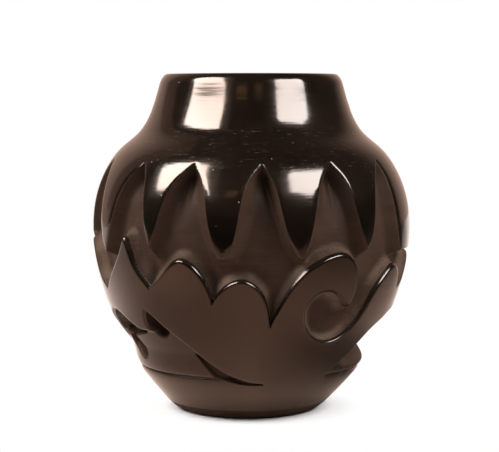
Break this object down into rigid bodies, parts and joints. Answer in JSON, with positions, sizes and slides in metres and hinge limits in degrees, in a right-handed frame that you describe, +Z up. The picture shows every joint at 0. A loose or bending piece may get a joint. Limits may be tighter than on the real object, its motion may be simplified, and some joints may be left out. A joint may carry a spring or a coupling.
{
  "type": "carved pottery jar",
  "caption": "Round hand-coiled blackware jar with a short upright neck, polished black, deep carved with pendant points above a curling water-serpent band; holds dry goods or stands on display.",
  "frame": {"origin": "centre of the flat base, on the surface that the jar stands on", "axes": "+Z up along the jar's axis, -Y towards the viewer of the picture, +X to that viewer's right"},
  "size_m": [0.1395, 0.1394, 0.147],
  "materials": {
    "smoked_clay": "matte, smoke-blackened, unslipped",
    "polished_slip": "stone-polished slip, smoke-blackened"
  },
  "bodies": {
    "root": {"base_pat": "smoked_clay", "lower_wall_coil": "smoked_clay", "hip_coil": "smoked_clay", "belly_coil": "smoked_clay", "upper_belly_coil": "smoked_clay", "shoulder_coil": "smoked_clay", "neck_coil": "smoked_clay", "rim_coil": "smoked_clay", "serpent_slip": "polished_slip", "shoulder_slip": "polished_slip"}
  },
  "joints": []
}
